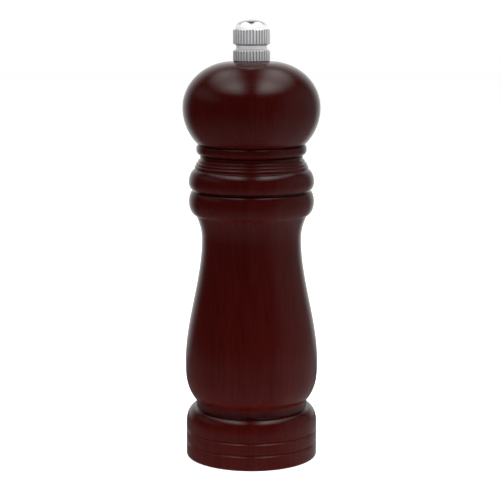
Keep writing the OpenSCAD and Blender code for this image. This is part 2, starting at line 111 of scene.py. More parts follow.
def product(tree, first, second):
    """The product of two (node, output) levels."""
    made = node(tree, "Math", operation="MULTIPLY")
    wire(tree, (*first, made, 0), (*second, made, 1))
    return made, 0


def brighter_of(tree, *levels):
    """The largest of several (node, output) levels."""
    largest = levels[0]
    for level in levels[1:]:
        made = node(tree, "Math", operation="MAXIMUM")
        wire(tree, (*largest, made, 0), (*level, made, 1))
        largest = (made, 0)
    return largest


table_top = bpy.data.materials.new("table_top")
table_top.use_nodes = True
tree = table_top.node_tree
tree.nodes.clear()
table_paint = node(tree, "BsdfDiffuse", Color=(0.8, 0.8, 0.8, 1))
table_glow = node(tree, "Emission", Color=(1, 1, 1, 1))
table_mirrored = node(tree, "Emission", Color=(1, 1, 1, 1))
table_sum = node(tree, "AddShader")
table_pick = node(tree, "MixShader")
table_out = node(tree, "OutputMaterial")
table_rays = node(tree, "LightPath")
table_place = node(tree, "NewGeometry")
table_axes = node(tree, "SeparateXYZ")
# The camera sees it white. Round the mill's foot it also throws a little light back up.
pool_reach = node(tree, "VectorMath", operation="LENGTH")
pool = soft_step(tree, 0.03, 0.30, 3.3, 0.0)
pick_glow = node(tree, "Mix", data_type="FLOAT")
pick_glow.inputs[3].default_value = 0.72
# A glossy surface sees it white far behind the mill, dim at the right and dark elsewhere.
table_way = node(tree, "VectorMath", operation="NORMALIZE")
table_back = soft_step(tree, 0.50, 1.0, 0.03, 0.95)
table_right = soft_step(tree, 0.3, 0.95, 0.0, 0.27)
table_reach = soft_step(tree, 0.05, 0.35, 0.0, 1.0)
table_nearby = soft_step(tree, 0.10, 0.80, 1.4, 1.0)
table_foot = soft_step(tree, 0.04, 0.60, 0.14, 0.03)
wire(tree, (table_place, "Position", pool_reach, 0), (table_place, "Position", table_way, 0),
     (table_way, 0, table_axes, 0), (table_axes, "Y", table_back, "Value"),
     (table_axes, "X", table_right, "Value"), (table_rays, "Is Camera Ray", pick_glow, 0),
     (pool, 0, pick_glow, 2), (pick_glow, 0, table_glow, "Strength"),
     (table_paint, 0, table_sum, 0), (table_glow, 0, table_sum, 1))
for step in (pool, table_reach, table_nearby, table_foot):
    wire(tree, (pool_reach, "Value", step, "Value"))
table_mirror_level = brighter_of(tree, product(tree, (table_back, 0), (table_reach, 0)),
                                 product(tree, (table_right, 0), (table_nearby, 0)),
                                 (table_foot, 0))
seen_in_gloss = brighter_of(tree, (table_rays, "Is Glossy Ray"),
                            (table_rays, "Is Transmission Ray"))
wire(tree, (*table_mirror_level, table_mirrored, "Strength"), (*seen_in_gloss, table_pick, 0),
     (table_sum, 0, table_pick, 1), (table_mirrored, 0, table_pick, 2),
     (table_pick, 0, table_out, "Surface"))
floor.data.materials.append(table_top)

room = bpy.data.worlds.new("room")
scene.world = room
room.use_nodes = True
tree = room.node_tree
tree.nodes.clear()
room_out = node(tree, "OutputWorld")
room_plain = node(tree, "Background", Color=(1, 1, 1, 1), Strength=0.32)
room_seen = node(tree, "Background", Color=(1, 1, 1, 1))
room_mix = node(tree, "MixShader")
room_rays = node(tree, "LightPath")
room_way = node(tree, "TexCoord")
room_axes = node(tree, "SeparateXYZ")

# White behind the mill, dim at its sides, and two boxes overhead with a dark gap at x = 0.
room_back = soft_step(tree, 0.50, 1.0, 0.03, 0.95)
room_right = soft_step(tree, 0.55, 0.95, 0.0, 0.30)
left_glow = soft_step(tree, -0.95, -0.65, 0.4, 0.0)
glow_height = soft_step(tree, 0.15, 0.50, 0.0, 1.0)
left_box_edge = soft_step(tree, -0.36, -0.06, 2.9, 0.1)
right_box_edge = soft_step(tree, 0.06, 0.30, 0.1, 3.4)
box_side = soft_step(tree, 0.32, 0.75, 1.0, 0.75)
box_reach = node(tree, "Math", operation="ABSOLUTE")
box_height = soft_step(tree, 0.60, 0.88, 0.0, 1.0)
box_front = soft_step(tree, -0.42, 0.10, 1.5, 0.8)
wire(tree, (room_way, "Generated", room_axes, 0), (room_axes, "X", box_reach, 0),
     (box_reach, 0, box_side, "Value"))
for axis, steps in (("X", (room_right, left_glow, left_box_edge, right_box_edge)),
                    ("Y", (room_back, box_front)), ("Z", (glow_height, box_height))):
    for step in steps:
        wire(tree, (room_axes, axis, step, "Value"))
left_patch = product(tree, (left_glow, 0), (glow_height, 0))
box_patch = product(tree, (box_height, 0), (box_front, 0))
box_faded = product(tree, box_patch, (box_side, 0))
boxes = brighter_of(tree, (left_box_edge, 0), (right_box_edge, 0))
box_light = product(tree, box_faded, boxes)
level = brighter_of(tree, (room_back, 0), (room_right, 0), left_patch, box_light)
in_gloss = brighter_of(tree, (room_rays, "Is Glossy Ray"), (room_rays, "Is Transmission Ray"))
seen_at_all = brighter_of(tree, (room_rays, "Is Camera Ray"), in_gloss)
room_pick = node(tree, "Mix", data_type="FLOAT")
room_pick.inputs[3].default_value = 1.0
wire(tree, (room_rays, "Is Camera Ray", room_pick, 0), (*level, room_pick, 2),
     (room_pick, 0, room_seen, "Strength"), (*seen_at_all, room_mix, 0),
     (room_plain, 0, room_mix, 1), (room_seen, 0, room_mix, 2), (room_mix, 0, room_out, 0))


def soft_box(name, place, size, watts, aim=(0, 0, 0.08)):
    """Adds a rectangular area lamp, turned towards the mill. Its gloss is the room's part."""
    bpy.ops.object.light_add(type="AREA", location=place)
    lamp = bpy.context.object
    lamp.name = name
    lamp.data.shape = "RECTANGLE"
    lamp.data.size, lamp.data.size_y = size
    lamp.data.energy = watts
    way = [a - p for a, p in zip(aim, place)]
    flat = math.hypot(way[0], way[1])
    lamp.rotation_euler = (math.atan2(flat, -way[2]), 0, math.atan2(way[1], way[0]) - math.pi / 2)
    lamp.visible_glossy = False


soft_box("left_box", (-0.30, -0.12, 0.95), (0.34, 0.42), 5.6)
soft_box("right_box", (0.26, -0.16, 0.95), (0.34, 0.42), 6.8)
soft_box("low_fill", (0.25, -0.75, 0.25), (0.6, 0.3), 1.4)

# --- Body -----------------------------------------------------------------------------------
# One piece of close-grained hardwood, turned between centres, bored right through and widened
# from below for the grinder. It is stained a deep mahogany red outside, sprayed with satin
# lacquer, and left bare in the bores.
body_top = upright("body")[1]
base_r = 24.8 * MM
belly_r = 25.0 * MM
base_wall_h = 13.0 * MM
base_corner_r = 0.9 * MM
shoulder_h = 6.2 * MM
shoulder_top_r = 21.5 * MM
neck_r = 21.0 * MM
neck_h = 3.0 * MM
belly_foot_r = 21.3 * MM
belly_rise = 14.8 * MM
waist_r = 18.65 * MM
waist_rise = 46.5 * MM
flare_r = 20.9 * MM
flare_h = 9.0 * MM
flare_steps = 12
bead_r = 23.45 * MM
bead_round = 3.2 * MM
lower_bead_below = 5.1 * MM
lower_bead_above = 3.9 * MM
bead_groove_r = 21.4 * MM
bead_groove_h = 0.8 * MM
upper_bead_below = 2.6 * MM
upper_bead_above = 5.1 * MM
step_h = 1.15 * MM
step_radii = (21.25 * MM, 20.7 * MM, 19.9 * MM)
seam_r = 19.2 * MM
recess_r = 20.5 * MM
recess_depth = 10.6 * MM
grinder_bore_r = 16.6 * MM
grinder_bore_top = 34.7 * MM
hopper_r = 13.2 * MM
foot_groove_heights = (5.7 * MM, 10.4 * MM)
foot_groove_depth = 0.45 * MM


def ease(start, slope_0, end, slope_1, count):
    """Points on a cubic curve between two outline points, with a slope at each, as radius
    gained per height."""
    (r0, z0), (r1, z1) = start, end
    h = z1 - z0
    points = []
    for i in range(count + 1):
        t = i / count
        r = ((2 * t**3 - 3 * t**2 + 1) * r0 + (t**3 - 2 * t**2 + t) * h * slope_0
             + (3 * t**2 - 2 * t**3) * r1 + (t**3 - t**2) * h * slope_1)
        points.append((r, z0 + t * h))
    return points


def bow(centre, half_r, half_z, first, last, count):
    """Points on a stretch of an ellipse, from the first angle to the last, in degrees."""
    points = []
    for i in range(count + 1):
        a = math.radians(first + (last - first) * i / count)
        points.append((centre[0] + half_r * math.cos(a), centre[1] + half_z * math.sin(a)))
    return points


def sanded(outline, radius, least_turn=20):
    """Rounds each corner of a closed outline that turns by more than some degrees."""
    softened = []
    count = len(outline)
    for i, here in enumerate(outline):
        before, after = outline[i - 1], outline[(i + 1) % count]
        way_in = (here[0] - before[0], here[1] - before[1])
        way_out = (after[0] - here[0], after[1] - here[1])
        len_in, len_out = math.hypot(*way_in), math.hypot(*way_out)
        turn = math.degrees(abs(math.atan2(way_in[0] * way_out[1] - way_in[1] * way_out[0],
                                           way_in[0] * way_out[0] + way_in[1] * way_out[1])))
        if turn < least_turn:
            softened.append(here)
            continue
        back = min(radius, len_in * 0.45) / len_in
        on = min(radius, len_out * 0.45) / len_out
        a = (here[0] - way_in[0] * back, here[1] - way_in[1] * back)
        b = (here[0] + way_out[0] * on, here[1] + way_out[1] * on)
        for t in (0, 0.35, 0.65, 1):
            softened.append(tuple((1 - t) ** 2 * p + 2 * t * (1 - t) * q + t * t * s
                                  for p, q, s in zip(a, here, b)))
    return softened


def select_only(piece):
    """Makes a piece the only selected one, and the active one."""
    bpy.ops.object.select_all(action="DESELECT")
    piece.select_set(True)
    bpy.context.view_layer.objects.active = piece


def edit_all():
    """Opens the active piece in edit mode with all of it selected."""
    bpy.ops.object.mode_set(mode="EDIT")
    bpy.ops.mesh.select_all(action="SELECT")


def leave_outward():
    """Turns the selected faces outwards and leaves edit mode."""
    bpy.ops.mesh.normals_make_consistent(inside=False)
    bpy.ops.object.mode_set(mode="OBJECT")


def drawn(name, outline):
    """Draws a closed outline of (radius, height) points beside the axis, edge by edge."""
    bpy.ops.object.select_all(action="DESELECT")
    bpy.ops.mesh.primitive_plane_add(size=MM, location=(outline[0][0], 0, outline[0][1]))
    piece = bpy.context.object
    piece.name = piece.data.name = name
    bpy.ops.object.transform_apply()
    bpy.ops.object.mode_set(mode="EDIT")
    bpy.ops.mesh.select_mode(type="VERT")
    bpy.ops.mesh.select_all(action="SELECT")
    bpy.ops.mesh.merge(type="CENTER")
    for here, there in zip(outline, outline[1:] + outline[:1]):
        bpy.ops.mesh.extrude_region_move(
            TRANSFORM_OT_translate={"value": (there[0] - here[0], 0, there[1] - here[1])})
    bpy.ops.mesh.select_all(action="SELECT")
    bpy.ops.mesh.remove_doubles(threshold=0.001 * MM)
    return piece


def turned(name, outline, steps):
    """Spins a closed half outline round the Z axis."""
    piece = drawn(name, outline)
    bpy.ops.mesh.spin(steps=steps, angle=2 * math.pi, center=(0, 0, 0), axis=(0, 0, 1))
    bpy.ops.mesh.select_all(action="SELECT")
    bpy.ops.mesh.remove_doubles(threshold=0.001 * MM)
    bpy.ops.mesh.delete_loose()
    leave_outward()
    return piece


def finish(piece, *materials, angle=30):
    """Shades a piece smooth over all edges flatter than an angle, and gives it materials."""
    select_only(piece)
    bpy.ops.object.shade_smooth_by_angle(angle=math.radians(angle))
    for material in materials:
        piece.data.materials.append(material)


def band(inner, outer, low, high):
    """Outline of a plain ring."""
    return [(inner, low), (outer, low), (outer, high), (inner, high)]


def plain_ring(name, inner, outer, low, high, edge, steps=96):
    """A turned ring with its edges broken."""
    return turned(name, sanded(band(inner, outer, low, high), edge), steps)


def v_cut(radius, height, depth):
    """Outline points of a groove in an upright wall, from below: a sloping lip, then a step."""
    return [(radius, height - 1.5 * depth), (radius - depth, height - 0.1 * depth),
            (radius - depth, height + 0.2 * depth), (radius, height + 0.6 * depth)]


shoulder_top_z = base_wall_h + shoulder_h
belly_foot_z = shoulder_top_z + neck_h
belly_z = belly_foot_z + belly_rise
waist_z = belly_z + waist_rise
flare_top_z = waist_z + flare_h
lower_bead_z = flare_top_z + lower_bead_below
lower_bead_top_z = lower_bead_z + lower_bead_above
upper_bead_foot_z = lower_bead_top_z + bead_groove_h
upper_bead_z = upper_bead_foot_z + upper_bead_below
upper_bead_top_z = upper_bead_z + upper_bead_above

body_outline = [(recess_r, 0)]
body_outline += bow((base_r - base_corner_r, base_corner_r), base_corner_r, base_corner_r,
                    -90, 0, 6)
for groove_z in foot_groove_heights:
    body_outline += v_cut(base_r, groove_z, foot_groove_depth)
body_outline += bow((shoulder_top_r, base_wall_h), base_r - shoulder_top_r, shoulder_h, 0, 82, 14)
body_outline += [(neck_r, shoulder_top_z), (neck_r, belly_foot_z)]
body_outline += ease((belly_foot_r, belly_foot_z), 0.8, (belly_r, belly_z), 0, 16)
body_outline += ease((belly_r, belly_z), 0, (waist_r, waist_z), 0, 30)[1:]
body_outline += [(waist_r + (flare_r - waist_r) * (i / flare_steps) ** 2,
                  waist_z + flare_h * i / flare_steps) for i in range(1, flare_steps + 1)]
body_outline += bow((bead_r - bead_round, lower_bead_z), bead_round,
                    lower_bead_below + 0.2 * MM, -72, 0, 14)
body_outline += bow((bead_r - bead_round, lower_bead_z), bead_round,
                    lower_bead_above + 1.5 * MM, 4, 44, 8)
body_outline += [(bead_groove_r, lower_bead_top_z), (bead_groove_r, upper_bead_foot_z)]
body_outline += bow((bead_r - bead_round, upper_bead_z), bead_round,
                    upper_bead_below + 1.1 * MM, -43, 0, 9)
body_outline += bow((bead_r - bead_round, upper_bead_z), bead_round, upper_bead_above, 5, 70, 14)
for number, step_r in enumerate(step_radii):
    step_z = upper_bead_top_z + number * step_h
    body_outline += [(step_r, step_z), (step_r, step_z + 0.6 * step_h),
                     (step_r - 0.2 * MM, step_z + 0.9 * step_h)]
body_outline += [(seam_r, upper_bead_top_z + len(step_radii) * step_h), (seam_r, body_top)]
body_outline += [(hopper_r, body_top), (hopper_r, grinder_bore_top),
                 (grinder_bore_r, grinder_bore_top), (grinder_bore_r, recess_depth),
                 (recess_r, recess_depth)]
body = turned("mill_body", sanded(body_outline, 0.22 * MM), 180)


def new_material(name):
    """An empty material with its node tree and its shader."""
    material = bpy.data.materials.new(name)
    material.use_nodes = True
    tree = material.node_tree
    return material, tree, tree.nodes["Principled BSDF"]


def noise(tree, source, stretch, scale, detail=3.0, rough=0.55):
    """A noise on object coordinates, stretched along each axis by its own share."""
    mapping = node(tree, "Mapping")
    mapping.inputs["Scale"].default_value = stretch
    pattern = node(tree, "TexNoise", Scale=scale, Detail=detail, Roughness=rough)
    wire(tree, (source, "Object", mapping, 0), (mapping, 0, pattern, "Vector"))
    return pattern


def ramp(tree, source, output, stops):
    """A colour ramp over (place, colour) stops, fed from one output."""
    made = node(tree, "ValToRGB")
    elements = made.color_ramp.elements
    while len(elements) < len(stops):
        elements.new(0.5)
    for element, (place, colour) in zip(elements, stops):
        element.position = place
        element.color = (*colour, 1)
    wire(tree, (source, output, made, 0))
    return made


def multiplied(tree, share, first, second):
    """Multiplies a colour output by another, with a share of the whole effect."""
    made = node(tree, "Mix", data_type="RGBA", blend_type="MULTIPLY")
    made.inputs[0].default_value = share
    tree.links.new(first, made.inputs[6])
    tree.links.new(second, made.inputs[7])
    return made.outputs[2]


def rings_at(tree, axes, heights, half_h):
    """A level of 1 on thin rings at some heights, which fades to 0 above and below them."""
    levels = []
    for height in heights:
        offset = node(tree, "Math", operation="SUBTRACT")
        offset.inputs[1].default_value = height
        reach = node(tree, "Math", operation="ABSOLUTE")
        level = soft_step(tree, 0.2 * half_h, half_h, 1, 0)
        wire(tree, (axes, 2, offset, 0), (offset, 0, reach, 0), (reach, 0, level, "Value"))
        levels.append((level, 0))
    return brighter_of(tree, *levels)[0]


def stained_wood():
    """Red-brown stained hardwood with upright grain and short pores, under satin lacquer."""
    material, tree, shader = new_material("stained_wood")
    shader.inputs["Specular IOR Level"].default_value = 0.25
    source = node(tree, "TexCoord")
    grain = noise(tree, source, (1.0, 0.55, 0.045), 900, 5.0, 0.6)
    bands = noise(tree, source, (1.0, 0.5, 0.09), 90, 2.0)
    pores = noise(tree, source, (1.0, 1.0, 0.08), 4200, 2.0, 0.5)
    rings = noise(tree, source, (0.02, 0.02, 1.0), 2600, 2.0, 0.5)
    hue = ramp(tree, grain, 0, [(0.30, (0.0185, 0.0008, 0.0006)), (0.5, (0.022, 0.0012, 0.0008)),
                                (0.72, (0.026, 0.0016, 0.0011))])
    broad = ramp(tree, bands, 0, [(0.32, (0.90, 0.88, 0.88)), (0.68, (1.05, 1.08, 1.05))])
    specks = ramp(tree, pores, 0, [(0.30, (0.72, 0.66, 0.66)), (0.42, (1, 1, 1))])
    tinted = multiplied(tree, 1.0, hue.outputs[0], broad.outputs[0])
    pored = multiplied(tree, 0.5, tinted, specks.outputs[0])
    axes = node(tree, "SeparateXYZ")
    wire(tree, (source, "Object", axes, 0))
    # Painted highlight: the colour is made paler on the groove lips and step edges that face the
    # light from above. Painted shade: it is darkened just above the grooves, where the groove's
    # shadow falls.
    lips = [z - 0.45 * MM for z in foot_groove_heights]
    lips += [upper_bead_top_z + (number + 0.75) * step_h for number in range(len(step_radii))]
    painted_lip_highlight = rings_at(tree, axes, lips, 0.5 * MM)
    painted_groove_shade = rings_at(tree, axes, [z + 0.3 * MM for z in foot_groove_heights], 0.45 * MM)
    # Tints for the painted highlight on the lips and the painted shade above the grooves.
    paling = ramp(tree, painted_lip_highlight, 0, [(0, (1, 1, 1)), (1, (1.8, 2.6, 2.6))])
    groove_shade_tint = ramp(tree, painted_groove_shade, 0, [(0, (1, 1, 1)), (1, (0.62, 0.5, 0.5))])
    lined = multiplied(tree, 1.0, pored, paling.outputs[0])
    tree.links.new(multiplied(tree, 1.0, lined, groove_shade_tint.outputs[0]), shader.inputs["Base Color"])
    gloss = node(tree, "MapRange", To_Min=0.13, To_Max=0.20)
    relief = node(tree, "Math", operation="ADD")
    bump = node(tree, "Bump", Strength=0.25, Distance=0.00008)
    wire(tree, (bands, 0, gloss, "Value"), (gloss, 0, shader, "Roughness"),
         (pores, 0, relief, 0), (rings, 0, relief, 1), (relief, 0, bump, "Height"),
         (bump, 0, shader, "Normal"))
    return material


def bare_wood():
    """Untreated wood of the bores: pale tan, open-grained, with a little stain soaked in."""
    material, tree, shader = new_material("bare_wood")
    source = node(tree, "TexCoord")
    grain = noise(tree, source, (1.0, 0.55, 0.05), 700, 5.0, 0.6)
    fibres = noise(tree, source, (1.0, 1.0, 0.08), 4200, 3.0)
    hue = ramp(tree, grain, 0, [(0.3, (0.20, 0.095, 0.045)), (0.55, (0.33, 0.18, 0.09)),
                                (0.75, (0.42, 0.25, 0.13))])
    bump = node(tree, "Bump", Strength=0.5, Distance=0.0002)
    shader.inputs["Roughness"].default_value = 0.78
    wire(tree, (hue, 0, shader, "Base Color"), (fibres, 0, bump, "Height"),
         (bump, 0, shader, "Normal"))
    return material


def line_the_bores(piece, bores):
    """Gives the bare wood to the faces inside bores, each given as (low, high, radius)."""
    for face in piece.data.polygons:
        r, z = face.center.xy.length, face.center.z
        if any(low < z < high and r < bore_r for low, high, bore_r in bores):
            face.material_index = 1


stained = stained_wood()
bare = bare_wood()
finish(body, stained, bare, angle=35)
skin = 0.1 * MM
line_the_bores(body, [(skin, recess_depth + skin, recess_r + skin),
                      (recess_depth, grinder_bore_top + skin, grinder_bore_r + skin),
                      (grinder_bore_top, body_top - skin, hopper_r + skin)])
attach(body, "base")
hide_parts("body")

# --- Head -----------------------------------------------------------------------------------
# The second turned piece, from the same stick as the body, so that the grain runs through.
# Its tenon turns in the body's bore, and a hole down the middle lets the shaft pass.
head_low, head_high = upright("head")
head_top = head_high
head_seat = body_top + 0.2 * MM
tenon_foot = head_low
tenon_r = 12.85 * MM
tenon_chamfer = 0.4 * MM
ring_r = 20.6 * MM
ring_h = 4.0 * MM
ring_round_r = 1.8 * MM
ring_round_h = 2.0 * MM
dome_foot_r = 20.0 * MM
dome_r = 25.64 * MM
dome_rise = 13.6 * MM
dome_cap_h = head_top - head_seat - ring_h - dome_rise
dome_inner = 6.8 * MM
head_bore_r = 4.8 * MM
nut_bore_r = 3.5 * MM
nut_bore_depth = 7.0 * MM
ring_top = head_seat + ring_h
dome_z = ring_top + dome_rise
dome_inset = dome_r - dome_foot_r
dome_round = (dome_rise**2 + dome_inset**2) / (2 * dome_inset)
dome_foot_angle = math.degrees(math.asin(dome_rise / dome_round))
flat_r = 7.0 * MM
cap_a = dome_r - dome_inner
flat_angle = math.degrees(math.acos((flat_r - dome_inner) / cap_a))
ring_inner = ring_r - ring_round_r
head_outline = [(head_bore_r, tenon_foot), (tenon_r - tenon_chamfer, tenon_foot),
                (tenon_r, tenon_foot + tenon_chamfer), (tenon_r, head_seat),
                (ring_inner, head_seat)]
head_outline += bow((ring_inner, head_seat + ring_round_h), ring_round_r, ring_round_h, -65, 0, 10)
head_outline += [(ring_r, ring_top - 0.9 * MM), (ring_r - 0.25 * MM, ring_top - 0.4 * MM),
                 (dome_foot_r - 0.3 * MM, ring_top - 0.2 * MM), (dome_foot_r - 0.3 * MM, ring_top)]
head_outline += bow((dome_r - dome_round, dome_z), dome_round, dome_round,
                    -dome_foot_angle, 0, 20)
head_outline += bow((dome_inner, dome_z), cap_a, dome_cap_h + 0.1 * MM, 4, flat_angle, 34)
head_outline += [(flat_r - 1 * MM, head_top), (nut_bore_r, head_top),
                 (nut_bore_r, head_top - nut_bore_depth), (head_bore_r, head_top - nut_bore_depth)]
head = turned("mill_head", sanded(head_outline, 0.2 * MM), 180)
finish(head, stained, bare, angle=35)
line_the_bores(head, [(tenon_foot - skin, head_seat - skin, tenon_r + skin),
                      (head_seat - skin, head_top - skin, head_bore_r + skin)])
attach(head, "head")
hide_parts("head")

# --- Finial nut -----------------------------------------------------------------------------
# Brass bar with a straight knurl, turned down to two bands and a domed end, drilled and
# tapped from below, and chrome plated.
nut_low, nut_high = upright("finial_nut")
nut_foot = nut_low
nut_r = 6.85 * MM
nut_low_band_h = 3.9 * MM
nut_groove_h = 2.8 * MM
nut_groove_r = 5.75 * MM
nut_high_band_h = 5.3 * MM
nut_dome_r = 6.0 * MM
nut_dome_wall = 0.8 * MM
nut_chamfer = 0.5 * MM
nut_hole_r = 3.0 * MM
nut_hole_depth = 10.5 * MM
nut_hole_cone = 0.8 * MM
nut_hole_chamfer = 0.6 * MM
knurl_count = 36
knurl_depth = 0.40 * MM
knurl_flank = 0.13 * MM
nut_groove_z = nut_foot + nut_low_band_h
nut_high_z = nut_groove_z + nut_groove_h
nut_dome_z = nut_high_z + nut_high_band_h
nut_ball_z = nut_dome_z + nut_dome_wall
nut_outline = [(0, nut_foot + nut_hole_depth),
               (nut_hole_r, nut_foot + nut_hole_depth - nut_hole_cone),
               (nut_hole_r, nut_foot + nut_hole_chamfer),
               (nut_hole_r + nut_hole_chamfer, nut_foot),
               (nut_r - nut_chamfer, nut_foot), (nut_r, nut_foot + nut_chamfer),
               (nut_r, nut_groove_z), (nut_groove_r, nut_groove_z + 0.35 * nut_groove_h),
               (nut_groove_r, nut_groove_z + 0.7 * nut_groove_h), (nut_r, nut_high_z),
               (nut_r, nut_dome_z - nut_chamfer), (nut_r - nut_chamfer, nut_dome_z),
               (nut_dome_r, nut_dome_z)]
nut_outline = sanded(nut_outline, 0.12 * MM)
nut_outline += bow((0, nut_ball_z), nut_dome_r, nut_high - nut_ball_z, 0, 90, 18)


def toothed_bar(name, count, radii, low, high, steps=1, end_scale=1.0, twist=0.0, start=0.0):
    """Extrudes a star upwards, with its corners on the given radii in turn, tapered and twisted.

    Its first corner is at the angle start from the X axis, and a twist above 0 is clockwise."""
    bpy.ops.object.select_all(action="DESELECT")
    bpy.ops.mesh.primitive_circle_add(vertices=count * len(radii), radius=radii[0],
                                      fill_type="NGON", location=(0, 0, low),
                                      rotation=(0, 0, start - math.pi / 2))
    piece = bpy.context.object
    piece.name = piece.data.name = name
    bpy.ops.object.transform_apply()
    for place, r in enumerate(radii[1:], 1):
        bpy.ops.object.mode_set(mode="EDIT")
        bpy.ops.mesh.select_mode(type="VERT")
        bpy.ops.mesh.select_all(action="DESELECT")
        bpy.ops.object.mode_set(mode="OBJECT")
        for vertex in piece.data.vertices:
            vertex.select = vertex.index % len(radii) == place
        bpy.ops.object.mode_set(mode="EDIT")
        share = r / radii[0]
        bpy.ops.transform.resize(value=(share, share, 1), center_override=(0, 0, low))
        bpy.ops.object.mode_set(mode="OBJECT")
    edit_all()
    for step in range(steps):
        z = low + (high - low) * (step + 1) / steps
        share = (1 + (end_scale - 1) * (step + 1) / steps) / (1 + (end_scale - 1) * step / steps)
        bpy.ops.mesh.extrude_region_move(
            TRANSFORM_OT_translate={"value": (0, 0, (high - low) / steps)})
        bpy.ops.transform.resize(value=(share, share, 1), center_override=(0, 0, z))
        bpy.ops.transform.rotate(value=twist / steps, orient_axis="Z", center_override=(0, 0, z))
    bpy.ops.mesh.select_all(action="SELECT")
    leave_outward()
    return piece


def combine(piece, tool, how):
    """Cuts, trims or joins a piece with a tool by a boolean that is applied at once."""
    select_only(piece)
    cut = piece.modifiers.new("cut", "BOOLEAN")
    cut.operation = how
    cut.solver = "EXACT"
    cut.object = tool
    bpy.ops.object.modifier_apply(modifier=cut.name)
    bpy.data.objects.remove(tool)


nut = turned("finial_nut_turned", nut_outline, 160)
knurled_bar = toothed_bar("knurled_bar", knurl_count,
                          (nut_r, nut_r - knurl_flank, nut_r - knurl_depth, nut_r - knurl_flank),
                          nut_foot - MM, nut_high + MM)
combine(nut, knurled_bar, "INTERSECT")


def metal(name, colour, dull, spread, scratch=0.04, metallic=1.0, stretch=(1, 1, 1)):
    """A metal with cloudy roughness and fine scratches that run as it was worked."""
    material, tree, shader = new_material(name)
    shader.inputs["Metallic"].default_value = metallic
    source = node(tree, "TexCoord")
    clouds = noise(tree, source, (1, 1, 1), 260, 4.0, 0.6)
    lines = noise(tree, source, stretch, 3200, 3.0, 0.6)
    hue = ramp(tree, clouds, 0, [(0.3, [c * 0.9 for c in colour]), (0.7, colour)])
    gloss = node(tree, "MapRange", To_Min=dull, To_Max=dull + spread)
    bump = node(tree, "Bump", Strength=scratch, Distance=0.00005)
    wire(tree, (hue, 0, shader, "Base Color"), (clouds, 0, gloss, "Value"),
         (gloss, 0, shader, "Roughness"), (lines, 0, bump, "Height"), (bump, 0, shader, "Normal"))
    return material


def shaded_between(material, low_r, high_r, grey):
    """Paints shade on a metal where its distance from the axis lies in a narrow range, as in the
    hollows between a knurl's ridges.
    """
    tree = material.node_tree
    shader = tree.nodes["Principled BSDF"]
    clean = shader.inputs["Base Color"].links[0].from_socket
    source = node(tree, "TexCoord")
    flat = node(tree, "VectorMath", operation="MULTIPLY")
    flat.inputs[1].default_value = (1, 1, 0)
    reach = node(tree, "VectorMath", operation="LENGTH")
    share = node(tree, "MapRange", From_Min=low_r, From_Max=high_r)
    wire(tree, (source, "Object", flat, 0), (flat, 0, reach, 0), (reach, "Value", share, "Value"))
    painted_knurl_shade = ramp(tree, share, 0, [(0.0, (1, 1, 1)), (0.3, (grey, grey, grey)),
                                 (0.55, (grey, grey, grey)), (1.0, (1, 1, 1))])
    tree.links.new(multiplied(tree, 1.0, clean, painted_knurl_shade.outputs[0]), shader.inputs["Base Color"])
    return material


plate = metal("chrome_plate", (0.90, 0.90, 0.92), 0.07, 0.07, 0.03, 0.45)
polished = metal("chrome_polished", (0.95, 0.95, 0.96), 0.07, 0.05, 0.01)
# A darkened copy of the chrome: painted shade under the upper band and at the nut's seat.
painted_shade_chrome = metal("chrome_painted_shade", (0.34, 0.33, 0.34), 0.07, 0.07, 0.03)
tree = polished.node_tree
plate_place = node(tree, "TexCoord")
plate_axes = node(tree, "SeparateXYZ")
plate_shine = node(tree, "MapRange", From_Min=nut_ball_z + 0.3 * MM,
                   From_Max=nut_ball_z + 1.5 * MM, To_Min=0.12, To_Max=1.0)
wire(tree, (plate_place, "Object", plate_axes, 0), (plate_axes, "Z", plate_shine, "Value"),
     (plate_shine, 0, tree.nodes["Principled BSDF"], "Metallic"))
# The knurled bands get painted shade in the hollows between their ridges.
finish(nut, shaded_between(plate, nut_r - 0.55 * MM, nut_r - 0.05 * MM, 0.46), polished, painted_shade_chrome,
       angle=25)
# Painted shade: the faces under the upper band and on the foot's chamfer get the darkened chrome,
# for the shadow that falls there.
for face in nut.data.polygons:
    r, z = face.center.xy.length, face.center.z
    shaded_under_band = nut_groove_z + 0.74 * nut_groove_h < z < nut_high_z + 0.1 * MM
    if shaded_under_band or z < nut_foot + nut_chamfer:
        face.material_index = 2
    elif nut_hole_r + 0.1 * MM < r < nut_dome_r + 0.1 * MM or z > nut_dome_z - 0.05 * MM:
        face.material_index = 1
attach(nut, "nut")
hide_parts("finial_nut")

# --- Shaft ----------------------------------------------------------------------------------
# Square aluminium bar that the head turns. Its top is turned round and threaded for the nut,
# and its foot has a groove for the clip that carries the rotor.
shaft_low, shaft_high = upright("shaft")
shaft_w = 6.0 * MM
square_top = head_top - nut_bore_depth - 1.4 * MM
thread_root_r = 2.4 * MM
thread_r = 2.93 * MM
thread_pitch = 1.0 * MM
thread_turns = 14
clip_low, clip_high = upright("shaft_clip")
clip_groove_r = 2.3 * MM
square_fit = 0.1 * MM
# Keyed pieces are turned with a narrow hole down the middle, which the broach then swallows.
core_r = 0.5 * MM


def block(place, size, turn=0.0):
    """A plain block of a size with its middle at a place, turned about its upright axis."""
    bpy.ops.object.select_all(action="DESELECT")
    bpy.ops.mesh.primitive_cube_add(size=1, location=place, rotation=(0, 0, turn))
    piece = bpy.context.object
    piece.scale = size
    bpy.ops.object.transform_apply()
    return piece


